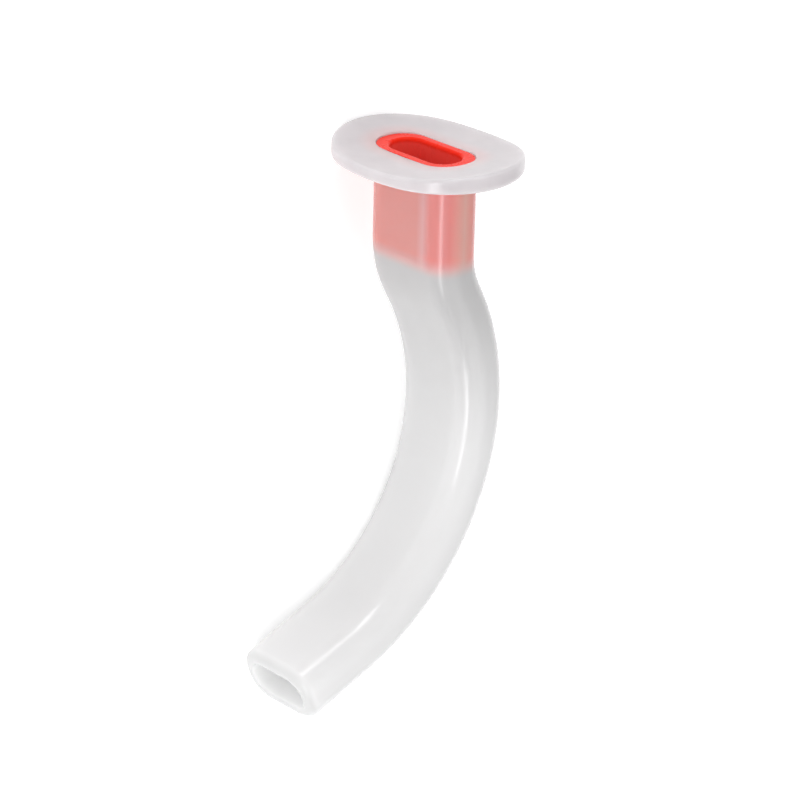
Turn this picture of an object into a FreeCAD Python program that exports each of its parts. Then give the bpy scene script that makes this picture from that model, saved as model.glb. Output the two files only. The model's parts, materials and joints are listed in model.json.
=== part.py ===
import FreeCAD, Part
import math
import os

os.makedirs("parts", exist_ok=True)

# Oropharyngeal airway, size 4, with a nominal length of 100 mm, in millimetres.
# The shapes are drawn in the airway's own frame: X runs across the flange, Y lies in the plane
# of the curve, and Z is the axis of the bite part, with the flange's outer face at Z = 0 and the
# tube below it. At the end both pieces are laid on their side, as the airway rests on a table.
AXIS_X = FreeCAD.Vector(1, 0, 0)
AXIS_Y = FreeCAD.Vector(0, 1, 0)
AXIS_Z = FreeCAD.Vector(0, 0, 1)
ORIGIN = FreeCAD.Vector(0, 0, 0)

# Flange: an oval plate of four arcs, which stops at the lips. Its face is dished along its length, so
# that it is thinnest in the middle, and it stands off towards the outside of the bend.
flange_length = 36.9
flange_width = 30.0
flange_side_radius = 34.0
flange_dish_radius = 132.0
flange_offset = 0.6
flange_thickness = 2.2
flange_edge_radius = 0.7
flange_root_radius = 0.8

# Bite part: the straight run of the body between the teeth
bite_width = 20.7
bite_thickness = 10.5
bite_corner_radius = 4.5
bite_run = 17.7

# Centreline of the curved tube, from the end of the bite part to the tip
neck_radius = 18.3
neck_angle = 28.5
neck_run = 2.5
throat_radius = 44.0
throat_angle = 98.8
tip_run = 15.0

# Outside of the tube half way along, and at the tip
middle_width = 18.9
middle_thickness = 10.4
middle_corner_radius = 4.6
tip_width = 18.0
tip_thickness = 11.8
tip_corner_radius = 5.2
tip_outer_radius = 1.8
tip_inner_radius = 0.5
tip_land = 0.1

# Air passage, the same through the block and the top of the tube
passage_width = 15.2
passage_thickness = 6.8
passage_corner_radius = 3.2
tip_bore_width = 13.2
tip_bore_thickness = 7.0
tip_bore_corner_radius = 3.3

# Bite block: the hard coloured insert, with a head let into the flange
block_length = 19.3
block_width = 18.5
block_thickness = 8.5
block_corner_radius = 3.9
block_toe_chamfer = 0.4
head_width = 20.5
head_thickness = 10.4
head_corner_radius = 4.9
head_depth = 1.3
lead_in_radius = 0.6
block_clearance = 0.08

# Spacing of the drawn cross-sections along the tube
section_spacing = 5.0

# Spacing and tolerance with which the resting pose and the footprint are measured, and how
# closely its leans are found, as slopes
resting_spacing = 1.0
outline_tolerance = 0.05
steepest_side_lean = 0.5
steepest_end_lean = 1.0
lean_accuracy = 1e-6


class Station:
    """A place on the centreline: its point, and its heading away from straight down."""

    def __init__(self, point, heading):
        self.point = point
        self.heading = heading
        self.along = FreeCAD.Vector(0, math.sin(heading), -math.cos(heading))
        self.across = FreeCAD.Vector(0, math.cos(heading), math.sin(heading))


def walk_line(start, length):
    return Station(start.point + start.along * length, start.heading)


def walk_arc(start, radius, angle):
    """Follow an arc that turns by the signed angle, positive towards +Y."""
    side = math.copysign(1, angle)
    centre = start.point + start.across * (side * radius)
    end_heading = start.heading + angle
    end_across = FreeCAD.Vector(0, math.cos(end_heading), math.sin(end_heading))
    return Station(centre - end_across * (side * radius), end_heading)


def centreline_stations(spacing):
    """Stations from the flange's outer face to the tip, each with its distance down the tube."""
    neck = math.radians(neck_angle)
    throat = math.radians(throat_angle)
    runs = [bite_run, neck_radius * neck, neck_run, throat_radius * throat, tip_run]
    walks = [
        lambda start, share: walk_line(start, bite_run * share),
        lambda start, share: walk_arc(start, neck_radius, neck * share),
        lambda start, share: walk_line(start, neck_run * share),
        lambda start, share: walk_arc(start, throat_radius, -throat * share),
        lambda start, share: walk_line(start, tip_run * share),
    ]
    station = Station(ORIGIN, 0.0)
    travelled = 0.0
    stations = [(travelled, station)]
    for run, walk in zip(runs, walks):
        steps = max(1, round(run / spacing))
        for step in range(1, steps + 1):
            share = step / steps
            stations.append((travelled + run * share, walk(station, share)))
        station = stations[-1][1]
        travelled += run
    return stations


def rounded_section(station, width, thickness, corner_radius):
    """A rounded rectangle square to the centreline, with its width across the curve."""
    flat_x = width / 2 - corner_radius
    flat_y = thickness / 2 - corner_radius
    half_x = width / 2
    half_y = thickness / 2
    bend = corner_radius * math.sqrt(0.5)

    def place(x, y):
        return station.point + AXIS_X * x + station.across * y

    edges = []
    for sx, sy in ((1, 1), (-1, 1), (-1, -1), (1, -1)):
        side_end = place(sx * half_x, sy * flat_y)
        face_end = place(sx * flat_x, sy * half_y)
        middle = place(sx * (flat_x + bend), sy * (flat_y + bend))
        if sx * sy > 0:
            edges.append(Part.Arc(side_end, middle, face_end).toShape())
            edges.append(Part.makeLine(face_end, place(-sx * flat_x, sy * half_y)))
        else:
            edges.append(Part.Arc(face_end, middle, side_end).toShape())
            edges.append(Part.makeLine(side_end, place(sx * half_x, -sy * flat_y)))
    return Part.Wire(edges)


def prism(width, thickness, corner_radius, top, bottom):
    """A straight rounded bar along the bite axis, between two heights."""
    wire = rounded_section(Station(FreeCAD.Vector(0, 0, top), 0.0), width, thickness, corner_radius)
    return Part.Face(wire).extrude(AXIS_Z * (bottom - top))


def blend(start, middle, end, share):
    """A size that runs straight from start to middle and on to end, for a share from 0 to 1."""
    if share < 0.5:
        return start + (middle - start) * share * 2
    return middle + (end - middle) * (share * 2 - 1)


def oval_end_radius(length, width, side_radius):
    """The radius of an oval's end arcs, which are tangent to its flatter side arcs."""
    half_x = length / 2
    half_y = width / 2
    return (2 * side_radius * half_y - half_x ** 2 - half_y ** 2) / (2 * (side_radius - half_x))


def oval_prism(length, width, side_radius, bottom, top):
    """An upright prism whose outline is two end arcs and two flatter side arcs, tangent where they meet."""
    half_x = length / 2
    half_y = width / 2
    end_radius = oval_end_radius(length, width, side_radius)
    reach = half_x - end_radius
    turn = math.atan2(side_radius - half_y, reach)
    meet_x = reach + end_radius * math.cos(turn)
    meet_y = end_radius * math.sin(turn)

    def at(x, y):
        return FreeCAD.Vector(x, y, bottom)

    outline = Part.Wire([
        Part.Arc(at(meet_x, -meet_y), at(half_x, 0), at(meet_x, meet_y)).toShape(),
        Part.Arc(at(meet_x, meet_y), at(0, half_y), at(-meet_x, meet_y)).toShape(),
        Part.Arc(at(-meet_x, meet_y), at(-half_x, 0), at(-meet_x, -meet_y)).toShape(),
        Part.Arc(at(-meet_x, -meet_y), at(0, -half_y), at(meet_x, -meet_y)).toShape(),
    ])
    return Part.Face(outline).extrude(AXIS_Z * (top - bottom))


def flange_rise():
    """How far the dished face stands above its middle at the ends of the flange."""
    return flange_dish_radius - math.sqrt(flange_dish_radius ** 2 - (flange_length / 2) ** 2)


def make_flange():
    """The oval plate with its face dished by a wide cylinder, and both rims rounded."""
    prism_top = flange_rise() + flange_edge_radius
    plate = oval_prism(flange_length, flange_width, flange_side_radius, -flange_thickness, prism_top)
    start = FreeCAD.Vector(0, -flange_width, flange_dish_radius)
    plate = plate.cut(Part.makeCylinder(flange_dish_radius, 2 * flange_width, start, AXIS_Y))
    rims = [edge for edge in plate.Edges if not runs_upright(edge)]
    plate = plate.makeFillet(flange_edge_radius, rims)
    return plate.translated(AXIS_Y * flange_offset)


def runs_upright(edge):
    slack = 1e-3
    run = edge.Vertexes[-1].Point - edge.Vertexes[0].Point
    return math.hypot(run.x, run.y) < slack


def loop_edges(shape, station, width, thickness):
    """The edges of a shape in the plane square to a station, no further out than width by thickness."""
    slack = 1e-3
    found = []
    for edge in shape.Edges:
        span = edge.LastParameter - edge.FirstParameter
        points = [edge.valueAt(edge.FirstParameter + span * share) for share in (0, 0.5, 1)]
        offsets = [point - station.point for point in points]
        if all(abs(offset.dot(station.along)) < slack
               and abs(offset.dot(AXIS_X)) < width / 2 + slack
               and abs(offset.dot(station.across)) < thickness / 2 + slack for offset in offsets):
            found.append(edge)
    return found


def tube_share(travelled, total):
    """How far down the curved tube a place is, from 0 in the bite part to 1 at the tip."""
    return max(0.0, (travelled - bite_run) / (total - bite_run))


def tube_section_size(travelled, total):
    """Width, thickness and corner radius of the outside of the tube at a distance down it."""
    share = tube_share(travelled, total)
    return (blend(bite_width, middle_width, tip_width, share),
            blend(bite_thickness, middle_thickness, tip_thickness, share),
            blend(bite_corner_radius, middle_corner_radius, tip_corner_radius, share))


def tip_roundings():
    """The outer and inner rounding of the tip's rim, which leave a narrow land on its thinnest wall."""
    wall = min(tip_width - tip_bore_width, tip_thickness - tip_bore_thickness) / 2
    share = min(1.0, wall / (tip_outer_radius + tip_inner_radius + tip_land))
    return tip_outer_radius * share, tip_inner_radius * share


def make_tube(stations):
    """The outside of the body, lofted through its tapering sections from inside the flange downwards."""
    inside_flange = walk_line(stations[0][1], flange_thickness / 2)
    sections = [rounded_section(inside_flange, bite_width, bite_thickness, bite_corner_radius)]
    sections += [rounded_section(station, *tube_section_size(travelled, stations[-1][0]))
                 for travelled, station in stations[1:]]
    return Part.makeLoft(sections, True)


def make_passage(stations):
    """The air passage, from the flange's face to a little way out of the tip."""
    total = stations[-1][0]
    tip = stations[-1][1]
    beyond = Station(tip.point + tip.along * section_spacing, tip.heading)
    sections = []
    for travelled, station in stations + [(total + section_spacing, beyond)]:
        share = tube_share(travelled, total)
        sections.append(rounded_section(
            station,
            passage_width + (tip_bore_width - passage_width) * share,
            passage_thickness + (tip_bore_thickness - passage_thickness) * share,
            passage_corner_radius + (tip_bore_corner_radius - passage_corner_radius) * share))
    return Part.makeLoft(sections, True)


def make_airway_body(stations):
    """Flange and tube, moulded as one, with the stepped seat for the bite block and the passage."""
    face = stations[0][1]
    tip = stations[-1][1]
    outer_rounding, inner_rounding = tip_roundings()
    underside = Station(face.point + face.along * flange_thickness, face.heading)

    tube = make_tube(stations)
    tube = tube.makeFillet(outer_rounding, loop_edges(tube, tip, tip_width, tip_thickness))
    body = make_flange().fuse(tube).removeSplitter()
    root = loop_edges(body, underside, bite_width, bite_thickness)
    body = body.makeFillet(flange_root_radius, root)

    gap = block_clearance
    block_seat = prism(block_width + 2 * gap, block_thickness + 2 * gap, block_corner_radius + gap,
                       flange_rise(), -block_length)
    head_seat = prism(head_width + 2 * gap, head_thickness + 2 * gap, head_corner_radius + gap,
                      flange_rise(), -head_depth - gap)
    body = body.cut([block_seat, head_seat, make_passage(stations)])
    body = body.makeFillet(inner_rounding, loop_edges(body, tip, tip_bore_width, tip_bore_thickness))
    return body


def make_bite_block():
    """The coloured insert: a straight rounded tube under a wider head, standing on the seat's shelf."""
    face = Station(ORIGIN, 0.0)
    toe = Station(FreeCAD.Vector(0, 0, -block_length), 0.0)
    shank = prism(block_width, block_thickness, block_corner_radius, 0, -block_length)
    shank = shank.makeChamfer(block_toe_chamfer, loop_edges(shank, toe, block_width, block_thickness))
    head = prism(head_width, head_thickness, head_corner_radius, 0, -head_depth)
    block = shank.fuse(head).removeSplitter()
    block = block.cut(prism(passage_width, passage_thickness, passage_corner_radius, 0, -block_length))
    mouth = loop_edges(block, face, passage_width, passage_thickness)
    return block.makeFillet(lead_in_radius, mouth)


def flange_depth(upwards):
    """How far the rim of the flange's underside reaches below the origin, measured against the way up."""
    side = math.hypot(upwards.x, upwards.y)
    end_radius = oval_end_radius(flange_length, flange_width, flange_side_radius)
    return ((flange_length / 2 - end_radius) * abs(upwards.x)
            + (end_radius - flange_edge_radius) * side
            + (flange_thickness - flange_edge_radius) * upwards.z
            + flange_edge_radius
            - flange_offset * upwards.y)


def tube_depth(upwards, stations):
    """How far the side of the tube reaches below the origin, measured against the way up."""
    depths = []
    for travelled, station in stations:
        width, thickness, corner_radius = tube_section_size(travelled, stations[-1][0])
        lean = upwards.dot(station.across)
        depths.append((width / 2 - corner_radius) * abs(upwards.x)
                      + (thickness / 2 - corner_radius) * abs(lean)
                      + corner_radius * math.hypot(upwards.x, lean)
                      - upwards.dot(station.point))
    return max(depths)


def resting_direction(centre):
    """The way up when the airway lies on its side, on the edge of its flange and the side of its tube.

    For each sideways lean there is one endways lean at which both touch the table. The airway rocks
    to the lean that brings its centre of mass nearest to the table.
    """
    stations = centreline_stations(resting_spacing)

    def level(side_lean):
        low, high = 0.0, steepest_end_lean
        while high - low > lean_accuracy:
            end_lean = (low + high) / 2
            upwards = FreeCAD.Vector(1, -side_lean, end_lean).normalize()
            if tube_depth(upwards, stations) > flange_depth(upwards):
                high = end_lean
            else:
                low = end_lean
        return upwards

    def height(side_lean):
        upwards = level(side_lean)
        return centre.dot(upwards) + flange_depth(upwards)

    low, high = 0.0, steepest_side_lean
    while high - low > lean_accuracy:
        third = (high - low) / 3
        if height(low + third) < height(high - third):
            high = high - third
        else:
            low = low + third
    return level((low + high) / 2)


def lying_placement(body, block):
    """The turn and move that lay the airway on the table, about the middle of its footprint."""
    centre = ((body.CenterOfMass * body.Volume + block.CenterOfMass * block.Volume)
              * (1 / (body.Volume + block.Volume)))
    upwards = resting_direction(centre)
    forwards = (AXIS_Z - upwards * AXIS_Z.dot(upwards)).normalize()
    sideways = forwards.cross(upwards)
    turn = FreeCAD.Rotation(FreeCAD.Matrix(
        sideways.x, sideways.y, sideways.z, 0,
        forwards.x, forwards.y, forwards.z, 0,
        upwards.x, upwards.y, upwards.z, 0,
        0, 0, 0, 1))
    points = [turn.multVec(point) for point in body.tessellate(outline_tolerance)[0]]
    middle = FreeCAD.Vector(
        (min(point.x for point in points) + max(point.x for point in points)) / 2,
        (min(point.y for point in points) + max(point.y for point in points)) / 2,
        -flange_depth(upwards))
    return FreeCAD.Placement(-middle, turn)


stations = centreline_stations(section_spacing)
airway_body = make_airway_body(stations).Solids[0]
bite_block = make_bite_block().Solids[0]
lying = lying_placement(airway_body, bite_block)

for name, shape in (("airway_body", airway_body), ("bite_block", bite_block)):
    laid = shape.transformed(lying.Matrix, True)
    laid.exportStep("parts/" + name + ".step")
    print(name, laid.isValid(), round(laid.Volume, 1), "cubic mm")
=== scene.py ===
import json
import math

import bmesh
import bpy
from mathutils import Matrix, Vector


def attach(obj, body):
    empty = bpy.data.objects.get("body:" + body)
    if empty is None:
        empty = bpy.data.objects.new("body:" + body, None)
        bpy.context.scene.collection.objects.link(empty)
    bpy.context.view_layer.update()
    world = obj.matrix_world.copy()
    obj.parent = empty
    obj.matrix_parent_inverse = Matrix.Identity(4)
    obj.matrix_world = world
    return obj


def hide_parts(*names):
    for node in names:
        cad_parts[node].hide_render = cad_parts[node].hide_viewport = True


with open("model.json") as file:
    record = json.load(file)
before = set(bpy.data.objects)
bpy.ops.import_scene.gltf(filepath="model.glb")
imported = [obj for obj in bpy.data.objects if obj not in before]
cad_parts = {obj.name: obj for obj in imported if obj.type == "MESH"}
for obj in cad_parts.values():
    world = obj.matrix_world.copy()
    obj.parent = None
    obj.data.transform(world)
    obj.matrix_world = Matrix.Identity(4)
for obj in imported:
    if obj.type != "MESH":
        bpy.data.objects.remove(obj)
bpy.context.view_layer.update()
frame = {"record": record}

# How the airway lies
# The airway rests on its side, on the edge of its flange and the side of its tube. Its own frame has
# its origin in the middle of the flange's outer face, Z out along the bite part and X along the flange.
# The places where a catheter enters and where the flange meets the lips give that frame in metres.
MM = 0.001

mounts = {mount["name"]: mount for mount in frame["record"]["mounts"]}
face_middle = Vector(mounts["catheter_passage"]["pos_m"])
outward = Vector(mounts["catheter_passage"]["axis"]).normalized()
to_lip = Vector(mounts["lip_face"]["pos_m"]) - face_middle
along_flange = (to_lip - outward * to_lip.dot(outward)).normalized()
across_flange = outward.cross(along_flange)
turn_of_airway = Matrix((along_flange, across_flange, outward)).transposed()
lay_down = Matrix.Translation(face_middle) @ turn_of_airway.to_4x4() @ Matrix.Scale(MM, 4)

# Airway body
# The flange, the bite part and the curved tube are one injection moulding in natural low-density
# polyethylene, drawn off a curved core that leaves the air passage. Inside the bite part the bore is
# stepped, so that the hard block drops in from the flange's face and stops on a shelf.
FLANGE_LENGTH = 36.9
FLANGE_WIDTH = 30.0
FLANGE_SIDE_RADIUS = 34.0
FLANGE_DISH_RADIUS = 132.0
FLANGE_OFFSET = 0.6
FLANGE_THICKNESS = 2.2
FLANGE_EDGE_RADIUS = 0.7
FLANGE_ROOT_RADIUS = 0.8
MOUTH_EDGE_RADIUS = 0.12

BITE_SIZE = (20.7, 10.5, 4.5)
MIDDLE_SIZE = (18.9, 10.4, 4.6)
TIP_SIZE = (18.0, 11.8, 5.2)
TIP_OUTER_RADIUS = 1.8
TIP_INNER_RADIUS = 0.5

PASSAGE_SIZE = (15.2, 6.8, 3.2)
TIP_BORE_SIZE = (13.2, 7.0, 3.3)

BITE_RUN = 17.7
NECK_RADIUS = 18.3
NECK_ANGLE = math.radians(28.5)
NECK_RUN = 2.5
THROAT_RADIUS = 44.0
THROAT_ANGLE = math.radians(98.8)
TIP_RUN = 15.0

BLOCK_LENGTH = 19.3
BLOCK_SIZE = (18.5, 8.5, 3.9)
HEAD_SIZE = (20.5, 10.4, 4.9)
HEAD_DEPTH = 1.3
BLOCK_CLEARANCE = 0.08

RING_SPACING = 1.8
HAIR = 0.01
CORNER_STEPS = 12
LONG_SIDE_STEPS = 8
SHORT_SIDE_STEPS = 2
END_ARC_STEPS = 2 * CORNER_STEPS + SHORT_SIDE_STEPS


def go_straight(place, length):
    return place @ Matrix.Translation((0, 0, -length))


def go_round(place, radius, length):
    """Down an arc in the plane of the bend, towards +Y if its radius is positive."""
    centre = Matrix.Translation((0, radius, 0))
    return place @ centre @ Matrix.Rotation(length / radius, 4, "X") @ centre.inverted()


def down(depth):
    """A level place straight down the bite part from the flange's face."""
    return go_straight(Matrix.Identity(4), depth)


def centreline():
    """Places from the flange's face to the tip, each with its distance down the tube."""
    straight = None
    legs = [
        (BITE_RUN, straight),
        (NECK_RADIUS * NECK_ANGLE, NECK_RADIUS),
        (NECK_RUN, straight),
        (THROAT_RADIUS * THROAT_ANGLE, -THROAT_RADIUS),
        (TIP_RUN, straight),
    ]
    place = down(0)
    travelled = 0.0
    places = [(travelled, place)]
    for run, radius in legs:
        steps = max(1, round(run / RING_SPACING))
        for step in range(1, steps + 1):
            length = run * step / steps
            ahead = go_straight(place, length) if radius is straight else go_round(place, radius, length)
            places.append((travelled + length, ahead))
        place = places[-1][1]
        travelled += run
    return places


def between(size, other, share):
    return tuple(a + (b - a) * share for a, b in zip(size, other))


def tube_size(share):
    """Width, thickness and corner radius outside, from the bite part to the tip."""
    if share < 0.5:
        return between(BITE_SIZE, MIDDLE_SIZE, share * 2)
    return between(MIDDLE_SIZE, TIP_SIZE, share * 2 - 1)


def grown(size, gap):
    return (size[0] + 2 * gap, size[1] + 2 * gap, size[2] + gap)


def arc_leg(centre, angle, steps):
    return {"cent": centre, "angle": angle, "steps": steps}


def straight_leg(vector, steps):
    return {"cent": (0, 0, 0), "angle": 0, "dvec": vector / steps, "steps": steps}


def closed_ring(bm, place, start, legs):
    """A loop of edges drawn from a start point through its legs, square to a place."""
    drawing = bmesh.new()
    first = bmesh.ops.create_vert(drawing, co=start)["vert"][0]
    last = first
    for leg in legs:
        spun = bmesh.ops.spin(drawing, geom=[last], axis=(0, 0, 1), use_merge=False,
                              use_duplicate=False, **leg)
        last = next(part for part in spun["geom_last"] if isinstance(part, bmesh.types.BMVert))
    bmesh.ops.pointmerge(drawing, verts=[first, last], merge_co=first.co)
    bmesh.ops.transform(drawing, matrix=place, verts=drawing.verts)
    wire = bpy.data.meshes.new("ring")
    drawing.to_mesh(wire)
    drawing.free()
    drawn = len(bm.edges)
    bm.from_mesh(wire)
    bpy.data.meshes.remove(wire)
    bm.edges.ensure_lookup_table()
    return bm.edges[drawn:]


def rounded_ring(bm, place, size):
    """A rounded rectangle, with its width along the flange."""
    width, thickness, corner_radius = size
    flat_x = width / 2 - corner_radius
    flat_y = thickness / 2 - corner_radius
    legs = []
    for x, y, side, steps in ((1, -1, Vector((0, 2 * flat_y, 0)), SHORT_SIDE_STEPS),
                              (1, 1, Vector((-2 * flat_x, 0, 0)), LONG_SIDE_STEPS),
                              (-1, 1, Vector((0, -2 * flat_y, 0)), SHORT_SIDE_STEPS),
                              (-1, -1, Vector((2 * flat_x, 0, 0)), LONG_SIDE_STEPS)):
        legs.append(arc_leg((x * flat_x, y * flat_y, 0), math.pi / 2, CORNER_STEPS))
        legs.append(straight_leg(side, steps))
    return closed_ring(bm, place, (flat_x, -thickness / 2, 0), legs)


def oval_ring(bm, place):
    """The flange's outline: two end arcs and two flatter side arcs, each tangent to the next."""
    half_length = FLANGE_LENGTH / 2
    half_width = FLANGE_WIDTH / 2
    end_radius = ((2 * FLANGE_SIDE_RADIUS * half_width - half_length ** 2 - half_width ** 2)
                  / (2 * (FLANGE_SIDE_RADIUS - half_length)))
    reach = half_length - end_radius
    drop = FLANGE_SIDE_RADIUS - half_width
    half_end = math.atan2(drop, reach)
    side_sweep = math.pi - 2 * half_end
    start = (reach + end_radius * math.cos(half_end), -end_radius * math.sin(half_end), 0)
    return closed_ring(bm, place, start, [
        arc_leg((reach, 0, 0), 2 * half_end, END_ARC_STEPS),
        arc_leg((0, -drop, 0), side_sweep, LONG_SIDE_STEPS),
        arc_leg((-reach, 0, 0), 2 * half_end, END_ARC_STEPS),
        arc_leg((0, drop, 0), side_sweep, LONG_SIDE_STEPS),
    ])


def dish_face(bm):
    """Lift the flange's face, with its rounded rims, to the wide cylinder that it is dished by."""
    for vert in bm.verts:
        if vert.co.z > -FLANGE_EDGE_RADIUS - HAIR:
            vert.co.z += FLANGE_DISH_RADIUS - math.sqrt(FLANGE_DISH_RADIUS ** 2 - vert.co.x ** 2)


def join_rings(bm, rings):
    """Skin a chain of rings that closes on itself, such as a tube with its bore.

    Rings in one plane could be joined the wrong way round, so a level step is drawn a hair off level.
    """
    for ring, following in zip(rings, rings[1:] + rings[:1]):
        bmesh.ops.bridge_loops(bm, edges=ring + following)


def round_over(bm, ring, radius, steps):
    bmesh.ops.bevel(bm, geom=ring, offset=radius, offset_type="OFFSET", segments=steps, profile=0.5,
                    affect="EDGES", material=-1, clamp_overlap=False)


def finish_moulding(bm, name, material):
    """Lay the moulding down and make it an object whose flat faces stay flat between rounded edges."""
    bmesh.ops.transform(bm, matrix=lay_down, verts=bm.verts)
    bmesh.ops.recalc_face_normals(bm, faces=bm.faces)
    for face in bm.faces:
        face.smooth = True
    mesh = bpy.data.meshes.new(name)
    bm.to_mesh(mesh)
    bm.free()
    mesh.materials.append(material)
    moulding = bpy.data.objects.new(name, mesh)
    bpy.context.scene.collection.objects.link(moulding)
    by_area = moulding.modifiers.new("Flat faces stay flat", "WEIGHTED_NORMAL")
    by_area.mode = "FACE_AREA"
    by_area.weight = 80
    return moulding


def body_mesh():
    bm = bmesh.new()
    places = centreline()
    total = places[-1][0]

    def share_of(travelled):
        """How far a place is from the bite part, as 0, to the tip, as 1."""
        return max(0.0, (travelled - BITE_RUN) / (total - BITE_RUN))

    def passage_size(travelled):
        return between(PASSAGE_SIZE, TIP_BORE_SIZE, share_of(travelled))

    tube = [rounded_ring(bm, place, tube_size(share_of(travelled)))
            for travelled, place in places if travelled > FLANGE_THICKNESS + FLANGE_ROOT_RADIUS]
    bore = [rounded_ring(bm, go_straight(place, -HAIR), passage_size(travelled))
            for travelled, place in reversed(places) if travelled > BLOCK_LENGTH + RING_SPACING / 2]
    seat = grown(BLOCK_SIZE, BLOCK_CLEARANCE)
    head_seat = grown(HEAD_SIZE, BLOCK_CLEARANCE)
    step_depth = HEAD_DEPTH + BLOCK_CLEARANCE
    off_centre = Matrix.Translation((0, FLANGE_OFFSET, 0))
    face_rim = oval_ring(bm, off_centre)
    back_rim = oval_ring(bm, go_straight(off_centre, FLANGE_THICKNESS))
    root = rounded_ring(bm, down(FLANGE_THICKNESS + HAIR), BITE_SIZE)
    mouth = rounded_ring(bm, down(HAIR), head_seat)
    shelf = [rounded_ring(bm, down(depth), size) for depth, size in (
        (BLOCK_LENGTH + HAIR, PASSAGE_SIZE), (BLOCK_LENGTH, seat),
        (step_depth + HAIR, seat), (step_depth, head_seat))]
    join_rings(bm, [face_rim, back_rim, root] + tube + bore + shelf + [mouth])
    round_over(bm, face_rim, FLANGE_EDGE_RADIUS, steps=6)
    round_over(bm, back_rim, FLANGE_EDGE_RADIUS, steps=6)
    round_over(bm, root, FLANGE_ROOT_RADIUS, steps=5)
    round_over(bm, tube[-1], TIP_OUTER_RADIUS, steps=8)
    round_over(bm, bore[0], TIP_INNER_RADIUS, steps=4)
    round_over(bm, mouth, MOUTH_EDGE_RADIUS, steps=3)
    dish_face(bm)
    return bm


def srgb(code):
    """A colour written as sRGB hex, turned linear for the shaders."""
    channels = [int(code[i:i + 2], 16) / 255 for i in (1, 3, 5)]
    linear = [c / 12.92 if c <= 0.04045 else ((c + 0.055) / 1.055) ** 2.4 for c in channels]
    return (*linear, 1)


def add_node(tree, kind, settings=None, inputs=None):
    """Add a node. A value for an input is a constant, and a socket is linked to it."""
    node = tree.nodes.new(kind)
    for name, value in (settings or {}).items():
        setattr(node, name, value)
    for name, value in (inputs or {}).items():
        socket = node.inputs[name]
        if isinstance(value, bpy.types.NodeSocket):
            tree.links.new(value, socket)
        else:
            socket.default_value = value
    return node


def ramp(tree, value, start, end, low=0.0, high=1.0, curve="SMOOTHSTEP"):
    """A value turned into one that goes from low to high between two points."""
    return add_node(tree, "ShaderNodeMapRange", {"interpolation_type": curve}, {
        "Value": value, "From Min": start, "From Max": end, "To Min": low, "To Max": high,
    }).outputs["Result"]


def mixed(tree, share, first, second):
    return add_node(tree, "ShaderNodeMix", {"data_type": "RGBA"}, {
        "Factor": share, "A": first, "B": second}).outputs["Result"]


def calculate(tree, operation, first, second=0.0):
    return add_node(tree, "ShaderNodeMath", {"operation": operation}, {0: first, 1: second}).outputs[0]


def vector_step(tree, operation, first, second=(0, 0, 0)):
    return add_node(tree, "ShaderNodeVectorMath", {"operation": operation}, {0: first, 1: second}).outputs[0]


def noise(tree, vector, size, **settings):
    """A soft random value, with the size of its patches in the unit of the coordinates."""
    return add_node(tree, "ShaderNodeTexNoise", None, {
        "Vector": vector, "Scale": 1 / size, **settings}).outputs["Fac"]


def new_material(name):
    material = bpy.data.materials.new(name)
    material.use_nodes = True
    material.node_tree.nodes.clear()
    return material, material.node_tree


def airway_coordinates(tree):
    """Object coordinates turned into the airway's own frame, in millimetres."""
    at = add_node(tree, "ShaderNodeTexCoord")
    return add_node(tree, "ShaderNodeMapping", {"vector_type": "TEXTURE"}, {
        "Vector": at.outputs["Object"],
        "Location": face_middle,
        "Rotation": turn_of_airway.to_euler(),
        "Scale": (MM, MM, MM),
    }).outputs["Vector"]


def off_core(tree, vector, size):
    """Distance from the core of a rounded rectangle, which is its corner radius all along its outline."""
    width, thickness, corner_radius = size
    core = (width / 2 - corner_radius, thickness / 2 - corner_radius, 0)
    past_core = vector_step(tree, "SUBTRACT", vector_step(tree, "ABSOLUTE", vector), core)
    outside = vector_step(tree, "MAXIMUM", past_core)
    level = vector_step(tree, "MULTIPLY", outside, (1, 1, 0))
    return add_node(tree, "ShaderNodeVectorMath", {"operation": "LENGTH"}, {0: level}).outputs["Value"]


POLYETHYLENE_DENSE = "#C0BBBE"
POLYETHYLENE_CLEAR = "#D4D0D2"
CLOUD_SIZE = 7.0
SKIN_GRAIN = 0.35
RIPPLE_SIZE = 9.0
NOISE_LOW = 0.3
NOISE_HIGH = 0.7

# Painted shade: the tube is painted darkest by the block, where the flange shades it, and paler towards the
# tip.
TUBE_IN_PAINTED_SHADE = "#BCBCBC"
TUBE_PAST_PAINTED_SHADE = "#E8E8E8"
PAINTED_SHADE_REACH = 46.0
PAINTED_SHADE_SHARE = 0.85

# Painted shade: the tip's rounded end and its end face are painted darker, so that the soft boxes do not
# light them to full white.
TIP_END_PAINTED_SHADE = "#CECECE"
TIP_END_SHADE_START = 0.2
# Painted light: the inside of the tip's bore is painted white, in place of the light that comes in through
# the wall.
TIP_BORE_PAINTED_LIGHT = "#FFFFFF"
BORE_LIGHT_START = 0.3
BORE_LIGHT_END = 0.7
BORE_LIGHT_FADE = 8.0

# Colours of the block seen through the wall, painted, from the broad side round to the narrow one, each at
# its distance along X less its distance from the middle plane. The paler ones are painted highlights in
# upright bands, and the deeper ones between them painted shade.
BLOCK_PINK_WITH_PAINTED_HIGHLIGHTS = [(-1.8, "#FA928C"), (-0.2, "#FFA5A4"), (1.5, "#FB8884"), (3.2, "#FB8884"),
                      (4.6, "#FC9493"), (6.7, "#F78A86"), (8.8, "#F4988F"), (10.4, "#F0A89E")]
GLOW_BLUR = 2.1
GLOW_SKIN = 1.4
GLOW_REACH = 5.0
GLOW_IN_FLANGE = 0.16


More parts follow.
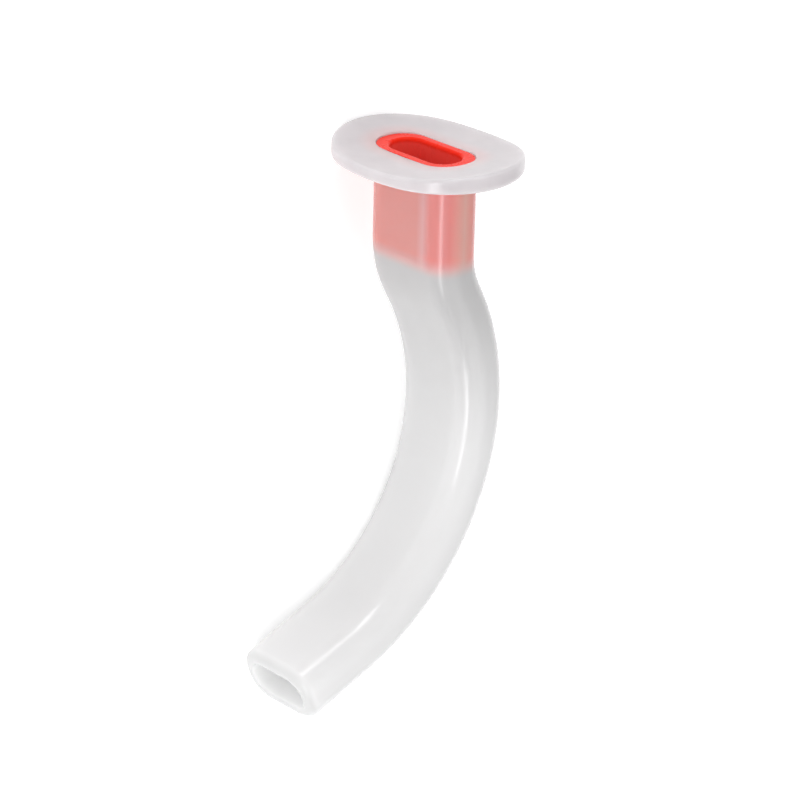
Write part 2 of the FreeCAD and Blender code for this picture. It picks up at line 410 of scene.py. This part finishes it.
def tube_tone_and_painted_light(tree, own, up_tube, cloud):
    """The milky plastic, with painted shade under the flange that fades down the tube, painted shade on the
    tip's end, and painted light inside the tip's bore.
    """
    milky = mixed(tree, cloud, srgb(POLYETHYLENE_DENSE), srgb(POLYETHYLENE_CLEAR))

    depth = add_node(tree, "ShaderNodeSeparateXYZ", None, {"Vector": own}).outputs["Z"]
    # Painted shade from the flange, darkest by the block and fading out down the tube.
    painted_shade_fading = ramp(tree, depth, -BLOCK_LENGTH, -BLOCK_LENGTH - PAINTED_SHADE_REACH)
    painted_shade = mixed(tree, painted_shade_fading, srgb(TUBE_IN_PAINTED_SHADE), srgb(TUBE_PAST_PAINTED_SHADE))
    painted_shade_weight = ramp(tree, depth, -FLANGE_THICKNESS - FLANGE_ROOT_RADIUS, -BITE_RUN,
                   high=PAINTED_SHADE_SHARE, curve="LINEAR")
    milky_with_painted_shade = mixed(tree, painted_shade_weight, milky, painted_shade)

    from_end = add_node(tree, "ShaderNodeSeparateXYZ", None, {"Vector": up_tube}).outputs["Z"]
    # Painted shade on the tip's rounded end and end face.
    painted_end_shade = ramp(tree, from_end, TIP_END_SHADE_START, TIP_OUTER_RADIUS, 1.0, 0.0)
    with_painted_end_shade = mixed(tree, painted_end_shade, milky_with_painted_shade, srgb(TIP_END_PAINTED_SHADE))

    # Painted light inside the tip's bore, fading out away from the tip.
    near_bore_light = ramp(tree, off_core(tree, up_tube, TIP_BORE_SIZE),
                     TIP_BORE_SIZE[2] + BORE_LIGHT_END, TIP_BORE_SIZE[2] + BORE_LIGHT_START)
    past_rim = ramp(tree, from_end, 0.0, TIP_INNER_RADIUS)
    near_tip = ramp(tree, from_end, TIP_RUN + BORE_LIGHT_FADE, TIP_RUN)
    painted_bore_light = calculate(tree, "MULTIPLY", calculate(tree, "MULTIPLY", near_bore_light, past_rim), near_tip)
    return mixed(tree, painted_bore_light, with_painted_end_shade, srgb(TIP_BORE_PAINTED_LIGHT))


def block_glow(tree, own):
    """Where and in what colour the red block is painted as showing through the wall, with painted highlights
    in upright bands.
    """
    place = add_node(tree, "ShaderNodeSeparateXYZ", None, {"Vector": own})
    depth = place.outputs["Z"]
    above_toe = ramp(tree, depth, -BLOCK_LENGTH - GLOW_BLUR, -BLOCK_LENGTH + GLOW_BLUR)
    below_flange = ramp(tree, depth, -FLANGE_THICKNESS - GLOW_BLUR / 2, -FLANGE_THICKNESS / 2,
                        1.0, GLOW_IN_FLANGE)
    near_block = ramp(tree, off_core(tree, own, BLOCK_SIZE),
                      BLOCK_SIZE[2] + GLOW_SKIN, BLOCK_SIZE[2] + GLOW_REACH, 1.0, 0.0)
    in_bite = calculate(tree, "MULTIPLY", above_toe, below_flange)
    strength = calculate(tree, "MULTIPLY", in_bite, near_block)

    off_middle = calculate(tree, "ABSOLUTE", place.outputs["Y"])
    round_section = calculate(tree, "SUBTRACT", place.outputs["X"], off_middle)
    first, last = BLOCK_PINK_WITH_PAINTED_HIGHLIGHTS[0][0], BLOCK_PINK_WITH_PAINTED_HIGHLIGHTS[-1][0]
    # Painted highlights and painted shade: paler and deeper upright bands round the bite part's section.
    painted_highlight_bands = add_node(tree, "ShaderNodeValToRGB", None, {
        "Fac": ramp(tree, round_section, first, last, curve="LINEAR")})
    while len(painted_highlight_bands.color_ramp.elements) < len(BLOCK_PINK_WITH_PAINTED_HIGHLIGHTS):
        painted_highlight_bands.color_ramp.elements.new(1.0)
    for element, (distance, colour) in zip(painted_highlight_bands.color_ramp.elements, BLOCK_PINK_WITH_PAINTED_HIGHLIGHTS):
        element.position = (distance - first) / (last - first)
        element.color = srgb(colour)
    return strength, painted_highlight_bands.outputs["Color"]


def natural_polyethylene():
    """Natural low-density polyethylene, injection moulded with a satin skin.

    It is milky and lets light through, so it looks pale grey with soft edges. The flange's shade on the tube
    is painted, darkest by the block and fading down the tube, the tip's end is painted darker as shade, and
    the light through the wall inside the tip is painted white. The red block's colour through the thin wall
    of the bite part is painted as a pink that ends in a soft line, with painted highlights as paler upright
    bands.
    """
    material, tree = new_material("Natural polyethylene, satin moulded")
    own = airway_coordinates(tree)
    tip_place = centreline()[-1][1]
    up_tube = add_node(tree, "ShaderNodeMapping", {"vector_type": "TEXTURE"}, {
        "Vector": own, "Location": tip_place.translation, "Rotation": tip_place.to_euler()}).outputs["Vector"]
    cloud = noise(tree, own, CLOUD_SIZE, Detail=3.0, Roughness=0.55)
    strength, glow = block_glow(tree, own)

    grain = add_node(tree, "ShaderNodeBump", None, {
        "Height": noise(tree, own, SKIN_GRAIN, Detail=2.0, Roughness=0.6),
        "Strength": 0.12, "Distance": 0.02 * MM})
    moulded = add_node(tree, "ShaderNodeBump", None, {
        "Height": noise(tree, own, RIPPLE_SIZE, Detail=1.0),
        "Strength": 0.25, "Distance": 0.25 * MM, "Normal": grain.outputs["Normal"]})

    surface = add_node(tree, "ShaderNodeBsdfPrincipled", None, {
        "Base Color": mixed(tree, strength, tube_tone_and_painted_light(tree, own, up_tube, cloud), glow),
        "Roughness": ramp(tree, cloud, NOISE_LOW, NOISE_HIGH, 0.20, 0.26, "LINEAR"),
        "IOR": 1.51,
        "Subsurface Weight": 1.0,
        "Subsurface Radius": (1.0, 1.0, 1.0),
        "Subsurface Scale": 4.0 * MM,
        "Normal": moulded.outputs["Normal"],
    })
    add_node(tree, "ShaderNodeOutputMaterial", None, {"Surface": surface.outputs[0]})
    return material


airway_body = finish_moulding(body_mesh(), "moulded_body", natural_polyethylene())
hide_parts("airway_body")
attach(airway_body, "root")

# Bite block
# A hard insert in red polypropylene, the colour that marks this size of airway. It is a short straight
# tube under a wider head. It is moulded by itself and pressed into the seat from the flange's face.
BLOCK_TOE_CHAMFER = 0.4
LEAD_IN_RADIUS = 0.6
HEAD_EDGE_RADIUS = 0.1

RED_DEEP = "#F62204"
RED_BRIGHT = "#FC2A08"
# Painted light: the inside of the slot is painted paler, in place of light thrown from wall to wall.
RED_PAINTED_SLOT_LIGHT = "#FF564C"
PIGMENT_SIZE = 4.0
WAVE_SIZE = 3.0


def block_mesh():
    bm = bmesh.new()

    def ring(depth, size):
        return rounded_ring(bm, down(depth), size)

    head_edge = ring(0, HEAD_SIZE)
    mouth = ring(HAIR, PASSAGE_SIZE)
    join_rings(bm, [
        mouth,
        head_edge,
        ring(HEAD_DEPTH, HEAD_SIZE),
        ring(HEAD_DEPTH + HAIR, BLOCK_SIZE),
        ring(BLOCK_LENGTH - BLOCK_TOE_CHAMFER, BLOCK_SIZE),
        ring(BLOCK_LENGTH, grown(BLOCK_SIZE, -BLOCK_TOE_CHAMFER)),
        ring(BLOCK_LENGTH - HAIR, PASSAGE_SIZE),
    ])
    round_over(bm, head_edge, HEAD_EDGE_RADIUS, steps=3)
    round_over(bm, mouth, LEAD_IN_RADIUS, steps=6)
    return bm


def red_polypropylene():
    """Polypropylene coloured through with red pigment, injection moulded and glossy.

    It is bright and even, with clean highlights along its edges and a slight waviness in its gloss. Inside
    the slot its colour is painted paler, as painted light for the light thrown from wall to wall.
    """
    material, tree = new_material("Red polypropylene, gloss moulded")
    own = airway_coordinates(tree)
    pigment = noise(tree, own, PIGMENT_SIZE, Detail=3.0, Roughness=0.6)
    red = mixed(tree, pigment, srgb(RED_DEEP), srgb(RED_BRIGHT))
    depth = add_node(tree, "ShaderNodeSeparateXYZ", None, {"Vector": own}).outputs["Z"]
    # Painted light inside the slot, below the lead-in.
    painted_slot_light = ramp(tree, depth, -LEAD_IN_RADIUS / 2, -2 * LEAD_IN_RADIUS)
    moulded = add_node(tree, "ShaderNodeBump", None, {
        "Height": noise(tree, own, WAVE_SIZE, Detail=1.0), "Strength": 0.2, "Distance": 0.1 * MM})
    surface = add_node(tree, "ShaderNodeBsdfPrincipled", None, {
        "Base Color": mixed(tree, painted_slot_light, red, srgb(RED_PAINTED_SLOT_LIGHT)),
        "Roughness": ramp(tree, pigment, NOISE_LOW, NOISE_HIGH, 0.24, 0.32, "LINEAR"),
        "IOR": 1.49,
        "Specular IOR Level": 0.12,
        "Normal": moulded.outputs["Normal"],
    })
    add_node(tree, "ShaderNodeOutputMaterial", None, {"Surface": surface.outputs[0]})
    return material


bite_block = finish_moulding(block_mesh(), "red_block", red_polypropylene())
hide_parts("bite_block")
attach(bite_block, "root")

# Floor
# A plain white studio table under the airway. It keeps the soft shadow, and what the lamps leave of it
# below full white is made up only for the eye and for reflections.
FLOOR_HALF = 3.0
FLOOR_SPECK = 0.025
FLOOR_LIFT = 0.32


def studio_white():
    """Matt white laminate: it shows no grain at this distance, only the shadow."""
    material, tree = new_material("White studio table, matt")
    at = add_node(tree, "ShaderNodeTexCoord")
    speck = noise(tree, at.outputs["Object"], FLOOR_SPECK)
    matt = add_node(tree, "ShaderNodeBsdfDiffuse", None, {
        "Color": mixed(tree, speck, srgb("#FAFAFA"), srgb("#FDFDFD"))})
    path = add_node(tree, "ShaderNodeLightPath")
    seen = calculate(tree, "MAXIMUM", path.outputs["Is Camera Ray"], path.outputs["Is Glossy Ray"])
    seen_through = calculate(tree, "MAXIMUM", seen, path.outputs["Is Transmission Ray"])
    lift = calculate(tree, "MULTIPLY", seen_through, FLOOR_LIFT)
    glow = add_node(tree, "ShaderNodeEmission", None, {"Color": (1, 1, 1, 1), "Strength": lift})
    both = add_node(tree, "ShaderNodeAddShader", None, {0: matt.outputs[0], 1: glow.outputs[0]})
    add_node(tree, "ShaderNodeOutputMaterial", None, {"Surface": both.outputs[0]})
    return material


bm = bmesh.new()
bmesh.ops.create_grid(bm, x_segments=1, y_segments=1, size=FLOOR_HALF)
floor_mesh = bpy.data.meshes.new("studio_floor")
bm.to_mesh(floor_mesh)
bm.free()
floor_mesh.materials.append(studio_white())
floor = bpy.data.objects.new("studio_floor", floor_mesh)
bpy.context.scene.collection.objects.link(floor)

# Camera
# It looks at the airway as the photograph does: down on the flange's face from the inside of the bend.
# Its place is given round the airway's own upright axis, about a point half way down the tube.
AIM_POINT = Vector((0, -15, -45))
AZIMUTH = math.radians(45.53)
ELEVATION = math.radians(24.3)
ROLL = math.radians(-1.39)
DISTANCE = 574.71
PAN_RIGHT = 7.26
PAN_UP = 0.72
PIXELS_PER_MM = 5.54
PICTURE_PIXELS = 800
SENSOR_WIDTH = 36.0

level_right = Vector((math.cos(AZIMUTH), math.sin(AZIMUTH), 0))
look = Vector((-math.sin(AZIMUTH) * math.cos(ELEVATION), math.cos(AZIMUTH) * math.cos(ELEVATION),
               -math.sin(ELEVATION)))
level_up = level_right.cross(look)
right = level_right * math.cos(ROLL) - level_up * math.sin(ROLL)
up = level_right * math.sin(ROLL) + level_up * math.cos(ROLL)
eye = AIM_POINT - look * DISTANCE + right * PAN_RIGHT + up * PAN_UP

camera_data = bpy.data.cameras.new("Camera")
camera_data.sensor_width = SENSOR_WIDTH
camera_data.lens = PIXELS_PER_MM * DISTANCE / PICTURE_PIXELS * SENSOR_WIDTH
camera = bpy.data.objects.new("Camera", camera_data)
bpy.context.scene.collection.objects.link(camera)
camera_turn = turn_of_airway @ Matrix((right, up, -look)).transposed()
camera.matrix_world = Matrix.Translation(lay_down @ eye) @ camera_turn.to_4x4()
bpy.context.scene.camera = camera

# Light
# A white tent all round with four soft boxes. The strip draws the long line of light down the tube, and
# the upper one lights the flange's face. The side and low ones are large and weak, and fill the shade.
TENT_STRENGTH = 0.72
bpy.context.scene.view_settings.view_transform = "Standard"

world = bpy.data.worlds.new("White tent")
bpy.context.scene.world = world
world.use_nodes = True
world.node_tree.nodes.clear()
tent = add_node(world.node_tree, "ShaderNodeBackground", None, {
    "Color": (1, 1, 1, 1), "Strength": TENT_STRENGTH})
add_node(world.node_tree, "ShaderNodeOutputWorld", None, {"Surface": tent.outputs[0]})


def soft_box(name, direction, long_side, distance, size, power):
    """A rectangular lamp that faces the airway, with its directions in the airway's own frame."""
    lamp_data = bpy.data.lights.new(name, "AREA")
    lamp_data.shape = "RECTANGLE"
    lamp_data.size = size[0]
    lamp_data.size_y = size[1]
    lamp_data.energy = power
    lamp = bpy.data.objects.new(name, lamp_data)
    bpy.context.scene.collection.objects.link(lamp)
    away = (turn_of_airway @ Vector(direction)).normalized()
    short_axis = (turn_of_airway @ Vector(long_side)).cross(away).normalized()
    turn = Matrix((short_axis, away.cross(short_axis), away)).transposed()
    lamp.matrix_world = Matrix.Translation(lay_down @ AIM_POINT + away * distance) @ turn.to_4x4()


soft_box("Strip along the tube", direction=(0.52, -0.77, -0.37), long_side=(-0.29, 0.29, -0.91),
         distance=0.8, size=(0.16, 0.72), power=2.2)
soft_box("Upper soft box", direction=(0.33, -0.05, 0.95), long_side=(0.5, 0.5, -0.2),
         distance=0.8, size=(0.12, 0.30), power=1.2)
soft_box("Side soft box", direction=(0.90, 0.25, -0.35), long_side=(0, 0, 1),
         distance=0.8, size=(0.70, 0.70), power=0.65)
soft_box("Low soft box", direction=(0.25, -0.93, -0.27), long_side=(0, 0, 1),
         distance=0.9, size=(0.50, 0.50), power=0.4)
